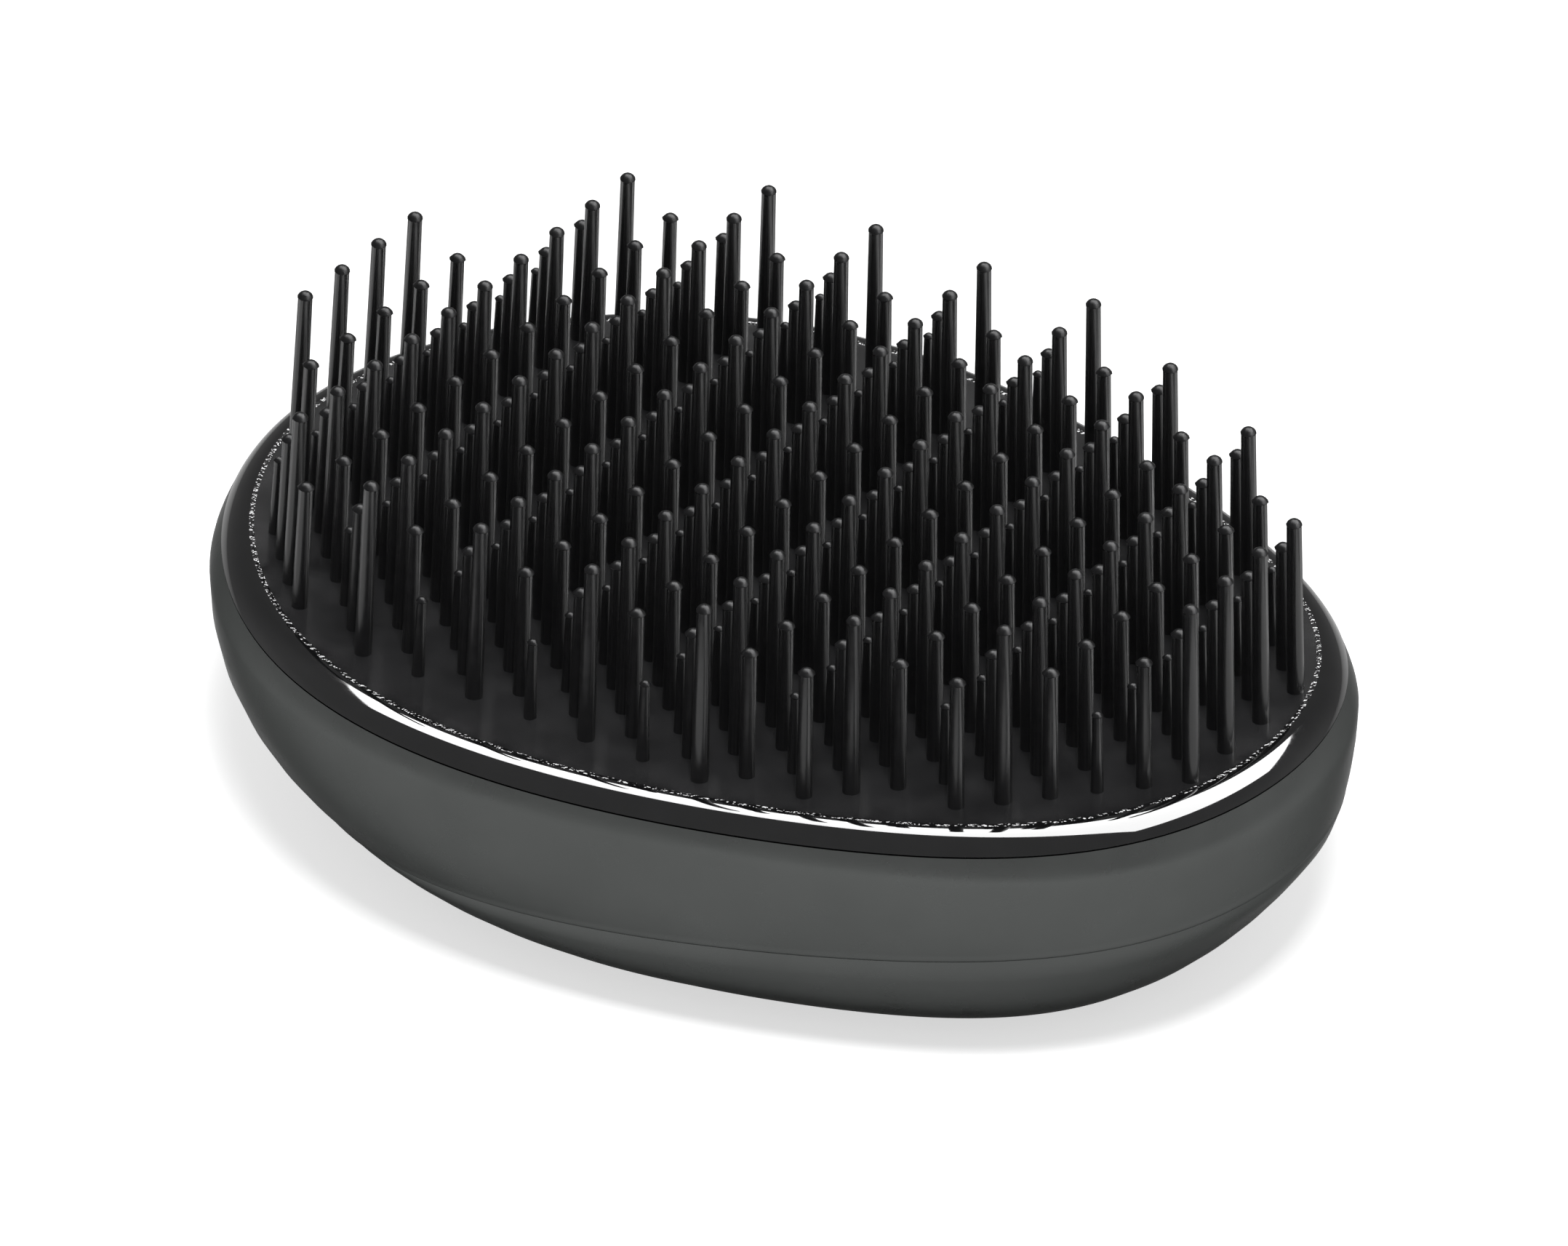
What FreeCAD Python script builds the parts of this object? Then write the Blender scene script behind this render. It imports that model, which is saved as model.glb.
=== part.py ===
import FreeCAD, Part
import math
import os

Vector = FreeCAD.Vector

# A palm brush lying on its back with the teeth up. X runs along it from the blunt end to the nose,
# Y runs across it, and Z runs up from the flat that it rests on. Lengths are in millimetres.

# Widest outline of the body: an egg that is widest near the blunt end and blunt at its nose.
# Its shares swell the sides of an ellipse by the first, second and third power of the way to the nose.
body_length = 103.4
body_width = 78.4
body_swell_shares = (-0.185, 0.057, 0.186)
outline_points = 12

# Shell below its widest line: the belly draws in towards a flat that the brush rests on.
# A round share of a half would make the belly an ellipse, and a smaller one makes it squarer.
equator_height = 22.0
base_trim = 0.6
belly_inset = 26.1
belly_round_share = 0.44
blunt_rake = 12.8
nose_reach = 1.4
palm_level_shares = (0.0, 0.28, 0.54, 0.76, 0.9, 1.0)

# Shoulder above the widest line, shared by the shell's lip and the edge of the tooth plate
shoulder_width = 6.1
shoulder_margin = 0.23
shoulder_level_shares = (0.97, 0.66, 0.33, 0.0)

# Crease round the back: it slopes up to the nose and fades out there
crease_drop = 10.9
crease_rise_angle = 5.2
crease_inset = 2.8
crease_blunt_shift = 5.3
crease_nose_shift = 2.6
crease_depth = 0.9
crease_nose_depth = 0.15
crease_roll = 0.7
band_level_shares = (0.6, 1.0)

# Tooth plate: its floor is gently dished, and its edge rolls down to the shell's lip
dish_radius = 850.0
floor_rise = 3.0
plate_thickness = 1.75

# Snap joint inside: a skirt under the plate, with barbs that hook under a ledge in the shell
shell_wall = 2.2
base_wall = 6.0
skirt_inset = 3.6
skirt_wall = 1.4
skirt_lead = 0.2
skirt_clearance = 0.2
ledge_drop = 5.1
barb_reach = 0.5
barb_height = 1.2
barb_clearance = 0.1
barb_width = 8.0
side_barb_shares = (-0.56, 0.0, 0.5)
cavity_shift = 5.2
cavity_level_shares = (0.0, 0.27, 0.49, 0.68)

# Teeth: rows across the brush on a diagonal lattice, square to the dished floor
row_pitch = 2.82
place_pitch = 5.6
field_shift = 0.41
field_inset = 6.35
field_nose_reach = 1.91
field_blunt_reach = 0.61
field_swell_shares = (-0.15, 0.12, 0.0)
tooth_sides = 5
tip_dome_share = 0.4
row_cycle = ("long", "medium", "short", "medium")
row_stagger_shares = {"long": 0.5, "medium": 0.0, "short": 0.5}
tooth_height = {"long": 16.6, "medium": 12.1, "short": 7.5}
tooth_root_radius = {"long": 0.78, "medium": 0.71, "short": 0.58}
tooth_tip_radius = {"long": 0.65, "medium": 0.62, "short": 0.41}

# How far a cutting shape runs past the solid that it cuts
overrun = 5.0

belly_depth = equator_height + base_trim
crease_height = equator_height - crease_drop
floor_height = equator_height + floor_rise
dish_centre = Vector(0, 0, floor_height + dish_radius)
end_sag = (body_length / 2) ** 2 / (2 * dish_radius)
shoulder_height = floor_rise + end_sag + shoulder_margin
ledge_height = floor_height - ledge_drop
skirt_depth = ledge_drop + barb_clearance + barb_height + skirt_lead


def egg(inset=0.0, nose_shift=0.0, blunt_shift=0.0, swell_shares=body_swell_shares):
    """Closed egg outline in the XY plane, drawn in from the widest one, with its ends moved along X."""
    nose = body_length / 2 - inset + nose_shift
    blunt = inset - body_length / 2 + blunt_shift
    turns = [2 * math.pi * k / outline_points for k in range(outline_points + 1)]
    points = []
    for turn in turns[:-1]:
        ease = math.cos(turn)
        swell = 1 + sum(share * ease ** (k + 1) for k, share in enumerate(swell_shares))
        points.append(Vector((nose + blunt) / 2 + (nose - blunt) / 2 * ease,
                             (body_width / 2 - inset) * math.sin(turn) * swell, 0))
    curve = Part.BSplineCurve()
    curve.interpolate(Points=points, Parameters=turns, PeriodicFlag=True)
    return Part.Wire([curve.toShape()])


def raised(wire, height, rise_angle=0.0):
    """The outline lifted to a height, its nose end tipped up by an angle."""
    wire.rotate(Vector(0, 0, 0), Vector(0, 1, 0), -rise_angle)
    wire.translate(Vector(0, 0, height))
    return wire


def through(sections):
    """Solid with straight walls from each outline to the next."""
    return Part.makeLoft(sections, True, True)


def egg_ring(outer_inset, inner_inset, bottom, top):
    """Upright wall between two egg outlines."""
    outer = through([raised(egg(outer_inset), bottom), raised(egg(outer_inset), top)])
    inner = through([raised(egg(inner_inset), bottom), raised(egg(inner_inset), top)])
    return outer.cut(inner)


def dish_ball(radius):
    """Ball about the centre of the dished floor; its underside is a dished surface."""
    return Part.makeSphere(radius, dish_centre, Vector(0, 1, 0))


def belly_draw(drop_share):
    """How far the belly has drawn in at a share of its depth below the widest line."""
    return belly_inset * (1 - (1 - drop_share ** (1 / belly_round_share)) ** belly_round_share)


def shoulder_section(height_share):
    """Outline of the body above its widest line."""
    inset = shoulder_width * (1 - math.sqrt(1 - height_share ** 2))
    return raised(egg(inset), equator_height + height_share * shoulder_height)


def band_section(share):
    """Outline of the side band, from the widest line at 0 to the upper edge of the crease at 1."""
    draw = share ** (1 / belly_round_share)
    outline = egg(crease_inset * draw, crease_nose_shift * draw, crease_blunt_shift * draw)
    height = equator_height + share * (crease_height - equator_height)
    return raised(outline, height, crease_rise_angle * share)


def palm_section(share):
    """Outline of the palm side, from the root of the crease at 0 to the base at 1."""
    drop = equator_height - crease_height * (1 - share)
    fade = (1 - share) ** 2
    inset = max(belly_draw(drop / belly_depth), crease_inset) + crease_depth * fade
    nose_root = crease_nose_shift + crease_depth - crease_nose_depth
    outline = egg(inset, nose_root * fade + nose_reach * share,
                  crease_blunt_shift + (blunt_rake - crease_blunt_shift) * share)
    height = (crease_height - crease_roll) * (1 - share)
    return raised(outline, height, crease_rise_angle * (1 - share))


def cavity_section(drop_share):
    """Outline of the shell's hollow at a share of its depth below the ledge; the wall thickens down."""
    draw = belly_draw(drop_share) + shell_wall * drop_share
    outline = egg(shell_wall)
    outline.scale(1 - draw / (body_width / 2), Vector(0, 0, 0))
    outline.translate(Vector(cavity_shift * drop_share ** 2, 0, 0))
    depth = (ledge_height - base_wall) / cavity_level_shares[-1]
    return raised(outline, ledge_height - drop_share * depth)


def body_form():
    """Outer form of the closed brush without its teeth: shoulder, side band, crease and palm side."""
    shoulder = [shoulder_section(share) for share in shoulder_level_shares]
    band = [band_section(share) for share in band_level_shares]
    palm = [palm_section(share) for share in palm_level_shares]
    return through(shoulder + band + palm)


def back_shell(form):
    """Hollow lacquered back: a thick lip takes the plate's skirt, and its underside is the ledge."""
    mouth_inset = skirt_inset - skirt_clearance
    mouth_top = floor_height + overrun
    mouth = through([raised(egg(mouth_inset), ledge_height), raised(egg(mouth_inset), mouth_top)])
    hollow = through([cavity_section(share) for share in cavity_level_shares])
    return form.cut(dish_ball(dish_radius + plate_thickness)).cut(mouth.fuse(hollow))


def barb_stations():
    """Blocks that mark where barbs stand on the skirt: three across the sides, one along the axis."""
    across = body_width + overrun
    blocks = []
    for share in side_barb_shares:
        block = Part.makeBox(barb_width, across, floor_height)
        block.translate(Vector(share * body_length / 2 - barb_width / 2, -across / 2, 0))
        blocks.append(block)
    along = Part.makeBox(body_length, barb_width, floor_height)
    along.translate(Vector(-body_length / 2, -barb_width / 2, 0))
    return blocks[0].fuse([*blocks[1:], along])


def tooth_plate(form):
    """Dished plate with a rolled edge, a skirt inside the shell and barbs under the shell's ledge."""
    slab = form.common(dish_ball(dish_radius + plate_thickness)).cut(dish_ball(dish_radius))
    skirt = egg_ring(skirt_inset, skirt_inset + skirt_wall, floor_height - skirt_depth, floor_height)
    barb_top = ledge_height - barb_clearance
    barb_root = skirt_inset + skirt_wall / 2
    barbs = egg_ring(skirt_inset - barb_reach, barb_root, barb_top - barb_height, barb_top)
    under = skirt.fuse(barbs.common(barb_stations()))
    return slab.fuse(under.cut(dish_ball(dish_radius + plate_thickness / 2))).removeSplitter()


def tooth(kind):
    """One tapered tooth standing on the origin, with a blunt domed tip."""
    height = tooth_height[kind]
    dome_height = tip_dome_share * 2 * tooth_tip_radius[kind]

    def ring(radius, level):
        turns = [2 * math.pi * k / tooth_sides for k in range(tooth_sides)]
        return [Vector(radius * math.cos(turn), radius * math.sin(turn), level) for turn in turns]

    root = ring(tooth_root_radius[kind], 0)
    neck = ring(tooth_tip_radius[kind], height - dome_height)
    outlines = [root]
    for k in range(tooth_sides):
        after = (k + 1) % tooth_sides
        outlines.append([root[k], root[after], neck[after], neck[k]])
        outlines.append([neck[k], neck[after], Vector(0, 0, height)])
    facets = [Part.Face(Part.makePolygon(outline + outline[:1])) for outline in outlines]
    return Part.Solid(Part.Shell(facets))


def tooth_places():
    """Places of the teeth by kind: lattice points inside the field's outline."""
    field = Part.Face(egg(field_inset, field_nose_reach, -field_blunt_reach, field_swell_shares))
    places = {kind: [] for kind in tooth_height}
    rows = int(body_length / 2 / row_pitch)
    columns = int(body_width / 2 / place_pitch) + 1
    for row in range(-rows, rows + 1):
        kind = row_cycle[row % len(row_cycle)]
        for column in range(-columns, columns + 1):
            across = (column + row_stagger_shares[kind]) * place_pitch
            place = Vector(field_shift + row * row_pitch, across, 0)
            if field.isInside(place, 0, True):
                places[kind].append(place)
    return places


def teeth(kind, places):
    """All teeth of one kind, each square to the dished floor under it."""
    model = tooth(kind)
    placed = []
    for place in places:
        drop = math.sqrt(dish_radius ** 2 - place.x ** 2 - place.y ** 2)
        root = dish_centre + Vector(place.x, place.y, -drop)
        turn = FreeCAD.Rotation(Vector(0, 0, 1), dish_centre - root)
        one = model.copy()
        one.Placement = FreeCAD.Placement(root, turn)
        placed.append(one)
    return Part.makeCompound(placed)


def main():
    os.makedirs("parts", exist_ok=True)
    form = body_form()
    pieces = {"back_shell": back_shell(form), "tooth_plate": tooth_plate(form)}
    for kind, places in tooth_places().items():
        pieces[kind + "_teeth"] = teeth(kind, places)
    for name, shape in pieces.items():
        shape.exportStep("parts/" + name + ".step")
        box = shape.BoundBox
        print(name, len(shape.Solids), "solids", shape.isValid(), round(shape.Volume, 1), "mm3",
              [round(v, 2) for v in (box.XMin, box.XMax, box.YMin, box.YMax, box.ZMin, box.ZMax)])


main()
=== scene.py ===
import math
import bpy
from mathutils import Matrix, Vector


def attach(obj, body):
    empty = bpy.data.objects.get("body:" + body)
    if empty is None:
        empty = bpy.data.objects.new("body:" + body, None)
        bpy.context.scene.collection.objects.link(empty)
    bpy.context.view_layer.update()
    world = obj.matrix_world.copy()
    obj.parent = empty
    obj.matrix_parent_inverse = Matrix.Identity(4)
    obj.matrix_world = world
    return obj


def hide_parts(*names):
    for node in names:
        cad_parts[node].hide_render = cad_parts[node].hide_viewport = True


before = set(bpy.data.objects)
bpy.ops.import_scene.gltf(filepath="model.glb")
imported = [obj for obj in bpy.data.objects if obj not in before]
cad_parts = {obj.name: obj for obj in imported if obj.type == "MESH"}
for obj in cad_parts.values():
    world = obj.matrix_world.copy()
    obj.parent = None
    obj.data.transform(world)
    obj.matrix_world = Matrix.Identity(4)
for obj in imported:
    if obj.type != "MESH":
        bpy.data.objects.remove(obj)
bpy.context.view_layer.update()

# A palm brush for detangling hair, lying on its back with the teeth up.
# +X runs to the nose, +Y across the brush, +Z up out of the teeth.
mm = 0.001
print("frame loaded:", len(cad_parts), "nodes")


# Small helpers

def linear(hexColour):
    # the sRGB curve, from a hex colour to the linear values that a node takes
    channels = [int(hexColour[k:k + 2], 16) / 255 for k in (1, 3, 5)]
    return [c / 12.92 if c <= 0.04045 else ((c + 0.055) / 1.055) ** 2.4 for c in channels] + [1.0]


def addNode(tree, kind, settings=None, inputs=None):
    node = tree.nodes.new(kind)
    for name, value in (settings or {}).items():
        setattr(node, name, value)
    for name, value in (inputs or {}).items():
        if isinstance(value, bpy.types.NodeSocket):
            tree.links.new(value, node.inputs[name])
        else:
            node.inputs[name].default_value = value
    return node


def newMaterial(name):
    material = bpy.data.materials.new(name)
    material.use_nodes = True
    material.node_tree.nodes.clear()
    return material, material.node_tree


def deselectAll():
    bpy.ops.object.select_all(action="DESELECT")


def ringTube(name, spokes, ringCount):
    # a unit circle pulled straight up once for each further ring, so z counts the rings
    deselectAll()
    bpy.ops.mesh.primitive_circle_add(vertices=spokes, radius=1, fill_type="NOTHING")
    tube = bpy.context.object
    tube.name = tube.data.name = name
    bpy.ops.object.mode_set(mode="EDIT")
    bpy.ops.mesh.select_all(action="SELECT")
    for ring in range(ringCount - 1):
        bpy.ops.mesh.extrude_region_move(TRANSFORM_OT_translate={"value": (0, 0, 1)})
    bpy.ops.object.mode_set(mode="OBJECT")
    return tube


def shapeRings(tube, ringPoints):
    # every ring of the tube goes to its own outline, and comes back as a list of vertex numbers
    members = [[] for ring in ringPoints]
    for vertex in tube.data.vertices:
        ring = round(vertex.co.z)
        members[ring].append(vertex.index)
        vertex.co = ringPoints[ring](math.atan2(vertex.co.y, vertex.co.x))
    return members


def closeRing(tube, members, asPole):
    # an open end becomes a flat face, or is drawn together to one point
    for part in (tube.data.vertices, tube.data.edges, tube.data.polygons):
        part.foreach_set("select", [False] * len(part))
    for index in members:
        tube.data.vertices[index].select = True
    bpy.context.view_layer.objects.active = tube
    bpy.ops.object.mode_set(mode="EDIT")
    bpy.ops.mesh.select_mode(type="VERT")
    if asPole:
        bpy.ops.mesh.merge(type="CENTER")
    else:
        bpy.ops.mesh.edge_face_add()
    bpy.ops.object.mode_set(mode="OBJECT")


def finishMesh(piece, sharpAngle):
    deselectAll()
    piece.select_set(True)
    bpy.context.view_layer.objects.active = piece
    bpy.ops.object.mode_set(mode="EDIT")
    bpy.ops.mesh.select_all(action="SELECT")
    bpy.ops.mesh.normals_make_consistent(inside=False)
    bpy.ops.object.mode_set(mode="OBJECT")
    bpy.ops.object.shade_smooth_by_angle(angle=math.radians(sharpAngle))


def handIn(piece, materials, slotName, *nodes):
    for material in materials:
        piece.data.materials.append(material)
    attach(piece, "root")
    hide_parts(*nodes)


# Outlines of the closed brush, which the shell and the plate share

body = {
    "length": 103.4 * mm,
    "width": 78.4 * mm,
    "swellShares": (-0.185, 0.057, 0.186),  # widest near the blunt end, and blunt at the nose
    "equatorHeight": 22.0 * mm,
    "shoulderWidth": 6.1 * mm,
    "shoulderMargin": 0.23 * mm,
    "floorRise": 3.0 * mm,
    "dishRadius": 850.0 * mm,
    "plateThickness": 1.75 * mm,
    "partingReach": 0.97,  # share of the shoulder that the parting line lies within
    "partingSteps": 40,
    "spokes": 192,
}
floorHeight = body["equatorHeight"] + body["floorRise"]
endSag = (body["length"] / 2) ** 2 / (2 * body["dishRadius"])
shoulderHeight = body["floorRise"] + endSag + body["shoulderMargin"]


def swelling(ease, shares):
    return 1 + sum(share * ease ** (k + 1) for k, share in enumerate(shares))


def eggPoint(turn, inset, noseShift=0.0, bluntShift=0.0):
    ease = math.cos(turn)
    nose = body["length"] / 2 - inset + noseShift
    blunt = inset - body["length"] / 2 + bluntShift
    swell = swelling(ease, body["swellShares"])
    x = (nose + blunt) / 2 + (nose - blunt) / 2 * ease
    y = (body["width"] / 2 - inset) * math.sin(turn) * swell
    return x, y


def tipped(x, y, height, angle=0.0):
    # the nose end of an outline is tipped up by an angle, in degrees
    return Vector((x * math.cos(math.radians(angle)), y, height + x * math.sin(math.radians(angle))))


def dishHeight(x, y, below=0.0):
    radius = body["dishRadius"] + below
    return floorHeight + body["dishRadius"] - math.sqrt(radius ** 2 - x ** 2 - y ** 2)


def shoulderInset(share):
    return body["shoulderWidth"] * (1 - math.sqrt(1 - share ** 2))


def shoulderPoint(turn, share):
    return tipped(*eggPoint(turn, shoulderInset(share)), body["equatorHeight"] + share * shoulderHeight)


def partingShare(turn):
    # how far up the shoulder the plate's underside comes out, found by halving
    low, high = 0.0, body["partingReach"]
    for step in range(body["partingSteps"]):
        middle = (low + high) / 2
        point = shoulderPoint(turn, middle)
        if point.z < dishHeight(point.x, point.y, body["plateThickness"]):
            low = middle
        else:
            high = middle
    return low


# Back shell: a lacquered hollow moulding with a crease that fades towards the nose

shellForm = {
    "baseTrim": 0.6 * mm,
    "bellyInset": 26.1 * mm,
    "bellyRoundShare": 0.44,
    "bluntRake": 12.8 * mm,
    "noseReach": 1.4 * mm,
    "creaseDrop": 10.9 * mm,
    "creaseRise": 5.2,  # degrees
    "creaseInset": 2.8 * mm,
    "creaseBluntShift": 5.3 * mm,
    "creaseNoseShift": 2.6 * mm,
    "creaseDepth": 0.9 * mm,
    "creaseNoseDepth": 0.15 * mm,
    "creaseRoll": 0.7 * mm,
    "lipGap": 0.08 * mm,  # half of the parting gap
    "lipPower": 1.35,  # 1 would be a straight slope up to the lip
    "sharpAngle": 38,  # degrees
    "mouthInset": 3.4 * mm,
    "ledgeDrop": 5.1 * mm,
    "wall": 2.2 * mm,
    "baseWall": 6.0 * mm,
    "hollowShift": 5.2 * mm,
    # levels of the rings, part by part, the hollow's from its floor up to the ledge
    "hollowShares": (0.68, 0.6, 0.49, 0.38, 0.27, 0.13, 0.0),
    "lipShares": (0.0, 0.2, 0.4, 0.6, 0.8, 1.0),
    "bandShares": (0.2, 0.4, 0.6, 0.75, 0.88, 0.95, 1.0),
    "creaseShares": (0.2, 0.4, 0.6, 0.8, 1.0),
    "palmShares": (0.04, 0.1, 0.18, 0.28, 0.4, 0.52, 0.64, 0.75, 0.85, 0.93, 1.0),
}
bellyDepth = body["equatorHeight"] + shellForm["baseTrim"]
creaseHeight = body["equatorHeight"] - shellForm["creaseDrop"]
ledgeHeight = floorHeight - shellForm["ledgeDrop"]


def bellyDraw(share):
    power = shellForm["bellyRoundShare"]
    return shellForm["bellyInset"] * (1 - (1 - share ** (1 / power)) ** power)


def bandPoint(turn, share):
    draw = share ** (1 / shellForm["bellyRoundShare"])
    x, y = eggPoint(turn, shellForm["creaseInset"] * draw, shellForm["creaseNoseShift"] * draw,
                    shellForm["creaseBluntShift"] * draw)
    height = body["equatorHeight"] - share * shellForm["creaseDrop"]
    return tipped(x, y, height, shellForm["creaseRise"] * share)


def palmPoint(turn, share):
    drop = body["equatorHeight"] - creaseHeight * (1 - share)
    fade = (1 - share) ** 2
    inset = max(bellyDraw(drop / bellyDepth), shellForm["creaseInset"]) + shellForm["creaseDepth"] * fade
    noseRoot = shellForm["creaseNoseShift"] + shellForm["creaseDepth"] - shellForm["creaseNoseDepth"]
    rake = shellForm["bluntRake"] - shellForm["creaseBluntShift"]
    bluntShift = shellForm["creaseBluntShift"] + rake * share
    x, y = eggPoint(turn, inset, noseRoot * fade + shellForm["noseReach"] * share, bluntShift)
    height = (creaseHeight - shellForm["creaseRoll"]) * (1 - share)
    return tipped(x, y, height, shellForm["creaseRise"] * (1 - share))


def creasePoint(turn, share):
    # the band's lower edge rolls in to the root of the crease
    start, end = bandPoint(turn, 1.0), palmPoint(turn, 0.0)
    roll = share * math.pi / 2
    across, down = 1 - math.cos(roll), math.sin(roll)
    return Vector((start.x + (end.x - start.x) * across, start.y + (end.y - start.y) * across,
                   start.z + (end.z - start.z) * down))


def lipPoint(turn):
    # the sharp outer edge of the shell's lip, just below the parting line
    edge = shoulderPoint(turn, partingShare(turn))
    return Vector((edge.x, edge.y, edge.z - shellForm["lipGap"]))


def mouthPoint(turn, height):
    return tipped(*eggPoint(turn, shellForm["mouthInset"]), height)


def hollowPoint(turn, share):
    draw = 1 - (bellyDraw(share) + shellForm["wall"] * share) / (body["width"] / 2)
    x, y = eggPoint(turn, shellForm["wall"])
    depth = (ledgeHeight - shellForm["baseWall"]) / shellForm["hollowShares"][0]
    return tipped(x * draw + shellForm["hollowShift"] * share ** 2, y * draw, ledgeHeight - share * depth)


def shoulderBelowLip(turn, share):
    # from the lip at 0 to the widest line at 1, steep all the way
    inset = shoulderInset(partingShare(turn)) * (1 - share) ** shellForm["lipPower"]
    top = lipPoint(turn).z
    return tipped(*eggPoint(turn, inset), top + (body["equatorHeight"] - top) * share)


def backShell():
    inner = [lambda t, s=s: hollowPoint(t, s) for s in shellForm["hollowShares"]]
    mouth = [lambda t: mouthPoint(t, ledgeHeight), lambda t: mouthPoint(t, lipPoint(t).z)]
    shoulder = [lambda t, s=s: shoulderBelowLip(t, s) for s in shellForm["lipShares"]]
    band = [lambda t, s=s: bandPoint(t, s) for s in shellForm["bandShares"]]
    crease = [lambda t, s=s: creasePoint(t, s) for s in shellForm["creaseShares"]]
    palm = [lambda t, s=s: palmPoint(t, s) for s in shellForm["palmShares"]]
    rings = inner + mouth + shoulder + band + crease + palm
    shell = ringTube("backShell", body["spokes"], len(rings))
    members = shapeRings(shell, rings)
    closeRing(shell, members[0], asPole=False)
    closeRing(shell, members[-1], asPole=False)
    finishMesh(shell, shellForm["sharpAngle"])
    return shell


# Tooth plate: dished floor, rolled edge and the skirt that goes into the shell

plateForm = {
    "spokes": 480,
    "rimWidth": 2.33 * mm,
    "edgeRound": 0.05 * mm,  # how far the lower edge is drawn in
    "gap": 0.08 * mm,  # the other half of the parting gap
    "flashWidth": 0.4 * mm,  # ragged ridge that the mould left round the floor
    "flashHeight": 0.08 * mm,
    "flashWaves": (211, 139, 83),  # waves round the plate that make it ragged
    "flashPhase": 0.7,
    "skirtInset": 3.6 * mm,
    "skirtWall": 1.4 * mm,
    "skirtDepth": 6.6 * mm,
    "sharpAngle": 38,  # degrees
    # levels of the rings, part by part, the rim's in degrees from the parting line to the crest
    "rimRolls": (35, 38, 42, 46, 50, 54, 58, 62, 66, 70, 74, 78, 82, 86, 90),
    "flashShares": (0.17, 0.33, 0.5, 0.67, 0.83, 1.0),
    "floorShares": (0.98, 0.94, 0.86, 0.74, 0.6, 0.45, 0.3, 0.15, 0.0),
    "underShares": (0.0, 0.3, 0.6, 0.85),
}


def rimPoint(turn, roll):
    # part of an ellipse, from the parting line up to the crest at 90 degrees
    top = partingShare(turn)
    low = shoulderPoint(turn, top).z + plateForm["gap"]
    outer = shoulderInset(top)
    high = dishHeight(*eggPoint(turn, outer + plateForm["rimWidth"]))
    start, angle = math.radians(plateForm["rimRolls"][0]), math.radians(roll)
    across = 1 - math.cos(angle) / math.cos(start)
    rise = (math.sin(angle) - math.sin(start)) / (1 - math.sin(start))
    x, y = eggPoint(turn, outer + plateForm["rimWidth"] * across)
    return Vector((x, y, low + (high - low) * rise))


def raggedShare(turn):
    # how high the flash ridge is here: it comes and goes round the floor
    phase = plateForm["flashPhase"]
    waves = [math.sin(count * turn + k * phase) for k, count in enumerate(plateForm["flashWaves"])]
    return max(0.0, sum(waves) / len(waves))


def footPoint(turn, share):
    # the ragged ridge between the crest of the rim at 0 and the edge of the floor at 1
    outer = shoulderInset(partingShare(turn))
    x, y = eggPoint(turn, outer + plateForm["rimWidth"] + plateForm["flashWidth"] * share)
    ridge = plateForm["flashHeight"] * math.sin(math.pi * share) * raggedShare(turn)
    return Vector((x, y, dishHeight(x, y) + ridge))


def floorPoint(turn, share, below=0.0):
    edge = footPoint(turn, 1.0)
    x, y = edge.x * share, edge.y * share
    return Vector((x, y, dishHeight(x, y, below)))


def skirtPoint(turn, inset, height=None):
    x, y = eggPoint(turn, inset)
    if height is None:
        height = dishHeight(x, y, body["plateThickness"])
    return Vector((x, y, height))


def lowerEdge(turn):
    return skirtPoint(turn, shoulderInset(partingShare(turn)) + plateForm["edgeRound"])


def toothPlate():
    skirtIn = plateForm["skirtInset"] + plateForm["skirtWall"]
    skirtOut = plateForm["skirtInset"]
    skirtFoot = floorHeight - plateForm["skirtDepth"]
    under = [lambda t, s=s: floorPoint(t, s, body["plateThickness"]) for s in plateForm["underShares"]]
    skirt = [lambda t: skirtPoint(t, skirtIn), lambda t: skirtPoint(t, skirtIn, skirtFoot),
             lambda t: skirtPoint(t, skirtOut, skirtFoot), lambda t: skirtPoint(t, skirtOut)]
    rim = [lambda t, r=r: rimPoint(t, r) for r in plateForm["rimRolls"]]
    flash = [lambda t, s=s: footPoint(t, s) for s in plateForm["flashShares"]]
    floor = [lambda t, s=s: floorPoint(t, s) for s in plateForm["floorShares"]]
    rings = under + skirt + [lowerEdge] + rim + flash + floor
    plate = ringTube("toothPlate", plateForm["spokes"], len(rings))
    members = shapeRings(plate, rings)
    # the flash ridge and the floor have finishes of their own, each from the ring where it starts
    ringOf = {index: ring for ring, indices in enumerate(members) for index in indices}
    floorStart = len(rings) - len(floor) - 1
    flashStart = floorStart - len(flash)
    for face in plate.data.polygons:
        startRing = min(ringOf[index] for index in face.vertices)
        face.material_index = (startRing >= flashStart) + (startRing >= floorStart)
    # the last ring goes first, so that the numbers of the first one still hold
    for ring in (members[-1], members[0]):
        closeRing(plate, ring, asPole=True)
    finishMesh(plate, plateForm["sharpAngle"])
    return plate


# Teeth: three lengths on a diagonal lattice, square to the dished floor

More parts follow.
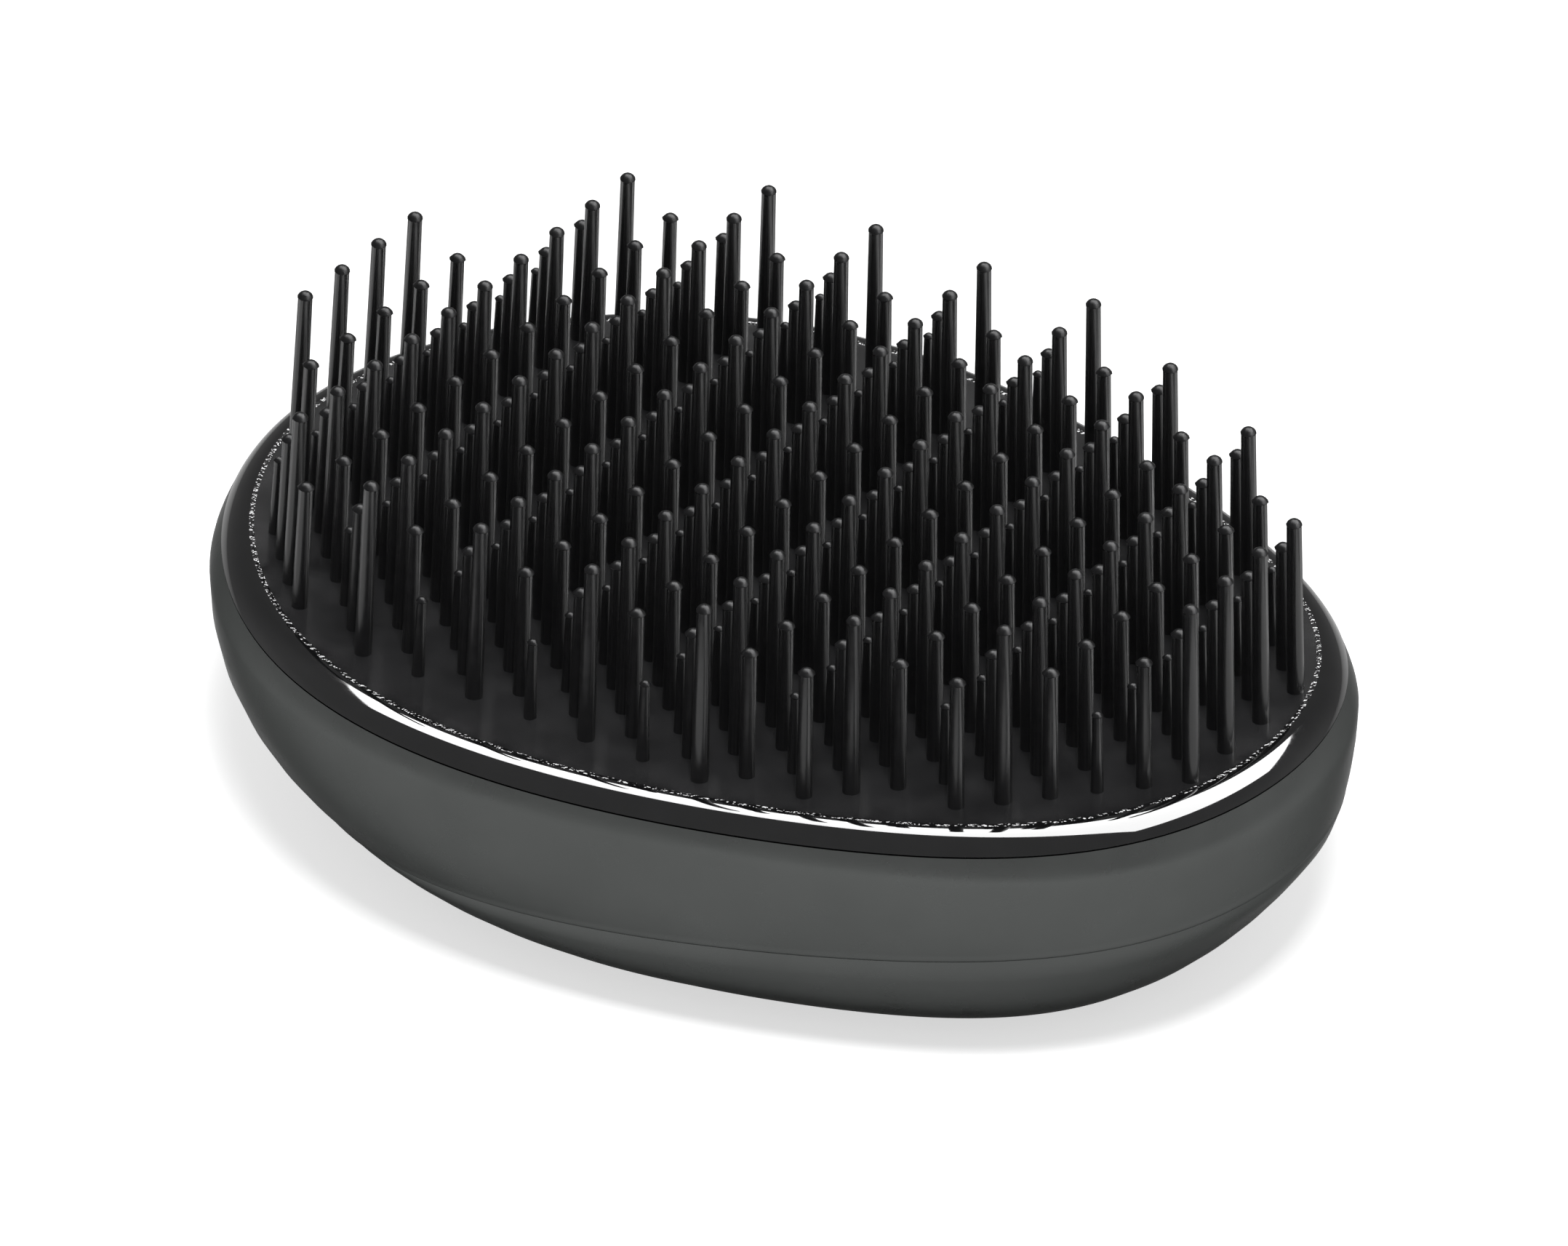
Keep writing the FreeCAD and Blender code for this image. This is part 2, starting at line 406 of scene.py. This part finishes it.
toothField = {
    "rowPitch": 2.82 * mm,
    "placePitch": 5.6 * mm,
    "shift": 0.41 * mm,
    "inset": 6.35 * mm,
    "noseReach": 1.91 * mm,
    "bluntReach": 0.61 * mm,
    "swellShares": (-0.15, 0.12, 0.0),
    "rowCycle": ("long", "medium", "short", "medium"),
    "stagger": {"long": 0.5, "medium": 0.0, "short": 0.5},
}
toothForm = {
    "long": {"height": 16.6 * mm, "root": 0.78 * mm, "tip": 0.65 * mm},
    "medium": {"height": 12.1 * mm, "root": 0.71 * mm, "tip": 0.62 * mm},
    "short": {"height": 7.5 * mm, "root": 0.58 * mm, "tip": 0.41 * mm},
}
toothMould = {
    "sides": 10,
    "sink": 0.15 * mm,  # how far the root goes into the floor
    "domeShare": 0.8,  # of the tip's radius
    "flashHeight": 0.1 * mm,  # ragged ring where the dome's mould met the shaft's
    "flashReach": (1.22, 1.08, 1.16, 1.1, 1.2),  # of the tip's radius, side by side
    "domeAngles": (32, 64),  # degrees
    "topRadius": 0.02 * mm,
    "levelTolerance": 0.001 * mm,
    "sharpAngle": 50,  # degrees
}


def insideField(x, y):
    nose = body["length"] / 2 - toothField["inset"] + toothField["noseReach"]
    blunt = toothField["inset"] - body["length"] / 2 - toothField["bluntReach"]
    ease = (x - (nose + blunt) / 2) / ((nose - blunt) / 2)
    if abs(ease) >= 1:
        return False
    swell = swelling(ease, toothField["swellShares"])
    reach = (body["width"] / 2 - toothField["inset"]) * math.sqrt(1 - ease ** 2) * swell
    return abs(y) <= reach


def toothPlaces():
    places = {kind: [] for kind in toothForm}
    rows = int(body["length"] / 2 / toothField["rowPitch"])
    columns = int(body["width"] / 2 / toothField["placePitch"]) + 1
    for row in range(-rows, rows + 1):
        kind = toothField["rowCycle"][row % len(toothField["rowCycle"])]
        for column in range(-columns, columns + 1):
            x = toothField["shift"] + row * toothField["rowPitch"]
            y = (column + toothField["stagger"][kind]) * toothField["placePitch"]
            if insideField(x, y):
                places[kind].append(Vector((x, y, dishHeight(x, y))))
    return places


def oneTooth(kind):
    form, sink = toothForm[kind], toothMould["sink"]
    dome = toothMould["domeShare"] * form["tip"]
    neck = form["height"] - dome
    outline = [(neck - toothMould["flashHeight"], form["tip"]), (neck, form["tip"])]
    for angle in map(math.radians, toothMould["domeAngles"]):
        outline.append((neck + dome * math.sin(angle), form["tip"] * math.cos(angle)))
    outline.append((form["height"], toothMould["topRadius"]))
    deselectAll()
    bpy.ops.mesh.primitive_circle_add(vertices=toothMould["sides"], radius=form["root"], fill_type="NGON",
                                      location=(0, 0, -sink))
    tooth = bpy.context.object
    bpy.ops.object.transform_apply()
    bpy.ops.object.mode_set(mode="EDIT")
    bpy.ops.mesh.select_all(action="SELECT")
    level, radius = -sink, form["root"]
    for height, nextRadius in outline:
        bpy.ops.mesh.extrude_region_move(TRANSFORM_OT_translate={"value": (0, 0, height - level)})
        scale = nextRadius / radius
        bpy.ops.transform.resize(value=(scale, scale, 1), center_override=(0, 0, height))
        level, radius = height, nextRadius
    bpy.ops.mesh.merge(type="CENTER")
    bpy.ops.object.mode_set(mode="OBJECT")
    for vertex in tooth.data.vertices:
        if abs(vertex.co.z - neck) < toothMould["levelTolerance"]:
            side = round(math.atan2(vertex.co.y, vertex.co.x) / (2 * math.pi) * toothMould["sides"])
            reach = toothMould["flashReach"][side % len(toothMould["flashReach"])]
            vertex.co.xy *= reach
    for face in tooth.data.polygons:
        face.material_index = int(face.center.z > neck - toothMould["flashHeight"])
    finishMesh(tooth, toothMould["sharpAngle"])
    return tooth


def plantTeeth(kind, places, finishes):
    model = oneTooth(kind)
    for finish in finishes:
        model.data.materials.append(finish)
    centre = Vector((0, 0, floorHeight + body["dishRadius"]))
    copies = []
    for place in places:
        copy = model.copy()
        copy.data = model.data.copy()
        bpy.context.collection.objects.link(copy)
        turn = Vector((0, 0, 1)).rotation_difference(centre - place)
        copy.matrix_world = Matrix.Translation(place) @ turn.to_matrix().to_4x4()
        copies.append(copy)
    bpy.data.objects.remove(model)
    deselectAll()
    for copy in copies:
        copy.select_set(True)
    bpy.context.view_layer.objects.active = copies[0]
    bpy.ops.object.transform_apply(location=True, rotation=True, scale=True)
    bpy.ops.object.join()
    group = bpy.context.object
    group.name = group.data.name = kind + "Teeth"
    return group


# Materials: every piece is ABS, and its surfaces were made in different ways

absIor = 1.54
cloudSpan = (0.3, 0.7)  # most of a noise lies between these
# the sockets of a Mix node share their names, so they go by number
mixShare, mixNumberA, mixNumberB, mixColourA, mixColourB = 0, 2, 3, 6, 7
mixedNumber, mixedColour = 0, 2

# Graphite lacquer on ABS: flakes give an even grey sheen at every angle, over a faint orange peel
graphiteLacquer = {
    "name": "graphiteLacquer",
    "colours": ("#5b5d5c", "#5f6160"),
    "colourPatch": {"size": 9 * mm},
    "roughness": (0.26, 0.32),
    "roughPatch": {"size": 4 * mm},
    "relief": {"size": 1.4 * mm},
    "reliefDepth": 0.004 * mm,
    "reliefStrength": 0.6,
    "shading": {"Metallic": 1.0, "Specular Tint": linear("#a8a8a8")},
}

# ABS from a polished mould: a black mirror with hairline handling marks along the brush,
# which are drawn wider than real ones so that they show
polishedAbs = {
    "name": "polishedBlackAbs",
    "colours": ("#0b0b0c", "#101011"),
    "colourPatch": {"size": 3 * mm},
    "roughness": (0.03, 0.07),
    "roughPatch": {"size": 0.5 * mm, "detail": 6.0, "stretch": (0.08, 1, 1)},
    "shading": {"IOR": absIor},
}

# Trimmed moulding flash: glossy crumbs of ABS that glint one by one
flashAbs = {
    "name": "trimmedFlashAbs",
    "colours": ("#0f0f10", "#1a1a1b"),
    "colourPatch": {"size": 0.5 * mm},
    "roughness": (0.05, 0.12),
    "roughPatch": {"size": 0.4 * mm},
    "relief": {"size": 0.45 * mm, "detail": 1.0},
    "reliefDepth": 0.16 * mm,
    "reliefStrength": 1.0,
    "shading": {"IOR": absIor},
}

# The same ABS on the floor, dulled by handling: cloudy patches and fine scuffs
scuffedAbs = {
    "name": "scuffedBlackAbs",
    "colours": ("#19191a", "#29292a"),
    "colourPatch": {"size": 7 * mm, "detail": 6.0},
    "roughness": (0.14, 0.22),
    "roughPatch": {"size": 5 * mm, "detail": 6.0},
    "relief": {"size": 0.6 * mm, "detail": 8.0, "stretch": (0.25, 1, 1)},
    "reliefDepth": 0.004 * mm,
    "reliefStrength": 0.5,
    "shading": {"IOR": absIor},
}

# ABS drawn from a fine mould: glossy shafts with a streak of light along each
shaftAbs = {
    "name": "glossBlackAbs",
    "colours": ("#0e0e0f", "#131314"),
    "colourPatch": {"size": 2 * mm},
    "roughness": (0.18, 0.26),
    "roughPatch": {"size": 1.2 * mm},
    "shading": {"IOR": absIor, "Specular IOR Level": 0.62},
}

# The same ABS at the tips, where the mould parts: duller domes with a rough edge
tipAbs = {
    "name": "roughTipAbs",
    "colours": ("#0e0e0f", "#151516"),
    "colourPatch": {"size": 0.3 * mm},
    "roughness": (0.3, 0.42),
    "roughPatch": {"size": 0.25 * mm},
    "shading": {"IOR": absIor, "Specular IOR Level": 0.1},
}


def cloudBetween(tree, low, high, size, detail=3.0, stretch=(1, 1, 1)):
    # a cloudy value between low and high, whose blotches are about one size across
    place = addNode(tree, "ShaderNodeTexCoord")
    stretched = addNode(tree, "ShaderNodeMapping", None,
                        {"Vector": place.outputs["Object"], "Scale": stretch})
    cloud = addNode(tree, "ShaderNodeTexNoise", None,
                    {"Vector": stretched.outputs["Vector"], "Scale": 1 / size, "Detail": detail})
    spread = addNode(tree, "ShaderNodeMapRange", None, {
        "Value": cloud.outputs["Fac"], "From Min": cloudSpan[0], "From Max": cloudSpan[1],
        "To Min": low, "To Max": high})
    return spread.outputs["Result"]


def finishMaterial(finish):
    material, tree = newMaterial(finish["name"])
    colourA, colourB = (linear(colour) for colour in finish["colours"])
    patches = cloudBetween(tree, 0, 1, **finish["colourPatch"])
    tint = addNode(tree, "ShaderNodeMix", {"data_type": "RGBA"},
                   {mixShare: patches, mixColourA: colourA, mixColourB: colourB})
    shading = dict(finish["shading"])
    shading["Base Color"] = tint.outputs[mixedColour]
    shading["Roughness"] = cloudBetween(tree, *finish["roughness"], **finish["roughPatch"])
    if "relief" in finish:
        relief = addNode(tree, "ShaderNodeBump", None, {
            "Height": cloudBetween(tree, 0, 1, **finish["relief"]),
            "Distance": finish["reliefDepth"], "Strength": finish["reliefStrength"]})
        shading["Normal"] = relief.outputs["Normal"]
    shader = addNode(tree, "ShaderNodeBsdfPrincipled", None, shading)
    addNode(tree, "ShaderNodeOutputMaterial", None, {"Surface": shader.outputs["BSDF"]})
    return material


shell = backShell()
handIn(shell, [finishMaterial(graphiteLacquer)], "back_shell", "back_shell")
print("shell:", len(shell.data.polygons), "faces")

plate = toothPlate()
plateFinishes = [finishMaterial(finish) for finish in (polishedAbs, flashAbs, scuffedAbs)]
handIn(plate, plateFinishes, "tooth_plate", "tooth_plate")
print("plate:", len(plate.data.polygons), "faces")

toothFinishes = [finishMaterial(finish) for finish in (shaftAbs, tipAbs)]
for kind, places in toothPlaces().items():
    group = plantTeeth(kind, places, toothFinishes)
    handIn(group, [], "teeth", kind + "_teeth")
    print(kind, "teeth:", len(places), "with", len(group.data.polygons), "faces")


# Stage: white floor that keeps the shadow, softboxes, fill, room and camera, in metres

stage = {
    "floorSize": 12.0,
    "floorDrop": 0.05 * mm,  # the flat of the shell stays clear of it
    "floorColour": "#e6e6e6",
    "floorLift": 0.6,  # light on the floor that only the camera and reflections see
    "glossyLiftShare": 0.05,  # the share of it that reflections see
    "softboxes": {  # low and high corners in x and y: the second carries the first on at the nose end
        "frontSoftbox": ((-0.75, -0.08), (1.0, 0.6)),
        "noseSoftbox": ((-0.05, 0.6), (1.0, 1.15)),
    },
    "softboxHeight": 1.0,
    "softboxBrightness": 20.0,
    "fillSize": 0.3,
    "fillPlace": (0.42, -0.58, 1.24),  # high up on the camera's side
    "fillBrightness": 55.0,
    "wallLow": 0.65,  # the room's walls are paler near the floor
    "wallHigh": 0.56,
    "wallFade": (0.1, 0.45),  # height of the view where they darken
    "farLevel": 0.32,  # and the far side is dimmer
    "farFade": (0.3, 0.75),  # lean of the view along the far axis, where it dims
    "farAxis": (-0.536, 0.844, 0.0),  # level, and straight away from the camera
}


def whiteFloor():
    deselectAll()
    bpy.ops.mesh.primitive_plane_add(size=stage["floorSize"], location=(0, 0, -stage["floorDrop"]))
    floor = bpy.context.object
    floor.name = "floor"
    material, tree = newMaterial("whiteTable")
    path = addNode(tree, "ShaderNodeLightPath")
    mirrored = addNode(tree, "ShaderNodeMath", {"operation": "MULTIPLY"},
                       {0: path.outputs["Is Glossy Ray"], 1: stage["glossyLiftShare"]})
    seen = addNode(tree, "ShaderNodeMath", {"operation": "MAXIMUM"},
                   {0: path.outputs["Is Camera Ray"], 1: mirrored.outputs[0]})
    seen = addNode(tree, "ShaderNodeMath", {"operation": "MAXIMUM"},
                   {0: seen.outputs[0], 1: path.outputs["Is Transmission Ray"]})
    lift = addNode(tree, "ShaderNodeMath", {"operation": "MULTIPLY"},
                   {0: seen.outputs[0], 1: stage["floorLift"]})
    matt = addNode(tree, "ShaderNodeBsdfDiffuse", None, {"Color": linear(stage["floorColour"])})
    glow = addNode(tree, "ShaderNodeEmission", None, {"Strength": lift.outputs[0]})
    both = addNode(tree, "ShaderNodeAddShader", None, {0: matt.outputs[0], 1: glow.outputs[0]})
    addNode(tree, "ShaderNodeOutputMaterial", None, {"Surface": both.outputs[0]})
    floor.data.materials.append(material)


def areaLight(name, place, size, brightness):
    # the watts grow with the area, so a larger lamp is as bright to look at
    light = bpy.data.lights.new(name, "AREA")
    light.shape = "RECTANGLE"
    light.size, light.size_y = size
    light.energy = brightness * math.pi * size[0] * size[1]
    lamp = bpy.data.objects.new(name, light)
    lamp.location = place
    lamp.visible_camera = False
    bpy.context.collection.objects.link(lamp)
    return lamp


def studioLights():
    # the softboxes are only seen in the gloss, and the fill lights the matt surfaces
    for name, (low, high) in stage["softboxes"].items():
        size = (high[0] - low[0], high[1] - low[1])
        place = ((low[0] + high[0]) / 2, (low[1] + high[1]) / 2, stage["softboxHeight"])
        areaLight(name, place, size, stage["softboxBrightness"]).visible_diffuse = False
    fill = areaLight("fill", stage["fillPlace"], (stage["fillSize"],) * 2, stage["fillBrightness"])
    fill.visible_glossy = False


def studioWorld():
    # a room with pale lower walls that is dimmer on the far side of the brush
    world = bpy.data.worlds.new("studio")
    bpy.context.scene.world = world
    world.use_nodes = True
    tree = world.node_tree
    tree.nodes.clear()
    direction = addNode(tree, "ShaderNodeTexCoord").outputs["Generated"]
    axes = addNode(tree, "ShaderNodeSeparateXYZ", None, {0: direction})
    away = addNode(tree, "ShaderNodeVectorMath", {"operation": "DOT_PRODUCT"},
                   {0: direction, 1: stage["farAxis"]})
    walls = addNode(tree, "ShaderNodeMapRange", {"interpolation_type": "SMOOTHSTEP"}, {
        "Value": axes.outputs["Z"], "From Min": stage["wallFade"][0], "From Max": stage["wallFade"][1],
        "To Min": stage["wallLow"], "To Max": stage["wallHigh"]})
    far = addNode(tree, "ShaderNodeMapRange", {"interpolation_type": "SMOOTHSTEP"}, {
        "Value": away.outputs["Value"], "From Min": stage["farFade"][0], "From Max": stage["farFade"][1]})
    level = addNode(tree, "ShaderNodeMix", {"data_type": "FLOAT"}, {
        mixShare: far.outputs["Result"], mixNumberA: walls.outputs["Result"], mixNumberB: stage["farLevel"]})
    sky = addNode(tree, "ShaderNodeBackground", None, {"Strength": level.outputs[mixedNumber]})
    addNode(tree, "ShaderNodeOutputWorld", None, {"Surface": sky.outputs[0]})


photoView = {
    "azimuth": 32.371,  # these three are in degrees, this one round from the front
    "elevation": 31.904,
    "roll": 1.386,
    "distance": 1.0,
    "aimRight": -0.378 * mm,  # the middle of the picture, from the middle of the plate's floor
    "aimUp": -3.332 * mm,
    "focalPixels": 16195.3,  # focal length, in pixels of a picture as wide as the next
    "photoWidth": 2156,
    "sensorWidth": 36.0,  # as Blender has it, in millimetres
}


def photoCamera():
    azimuth, elevation, roll = (math.radians(photoView[k]) for k in ("azimuth", "elevation", "roll"))
    back = Vector((math.sin(azimuth) * math.cos(elevation), -math.cos(azimuth) * math.cos(elevation),
                   math.sin(elevation)))
    level = Vector((math.cos(azimuth), math.sin(azimuth), 0))
    upright = back.cross(level)
    right = level * math.cos(roll) + upright * math.sin(roll)
    up = upright * math.cos(roll) - level * math.sin(roll)
    place = right * photoView["aimRight"] + up * photoView["aimUp"] + back * photoView["distance"]
    place += Vector((toothField["shift"], 0, floorHeight))
    lens = bpy.data.cameras.new("photoCamera")
    lens.sensor_width = photoView["sensorWidth"]
    lens.lens = photoView["focalPixels"] / photoView["photoWidth"] * photoView["sensorWidth"]
    camera = bpy.data.objects.new("photoCamera", lens)
    camera.matrix_world = Matrix((right, up, back)).transposed().to_4x4()
    camera.location = place
    bpy.context.collection.objects.link(camera)
    bpy.context.scene.camera = camera


whiteFloor()
studioLights()
studioWorld()
photoCamera()
bpy.context.scene.view_settings.view_transform = "Standard"
print("stage set")
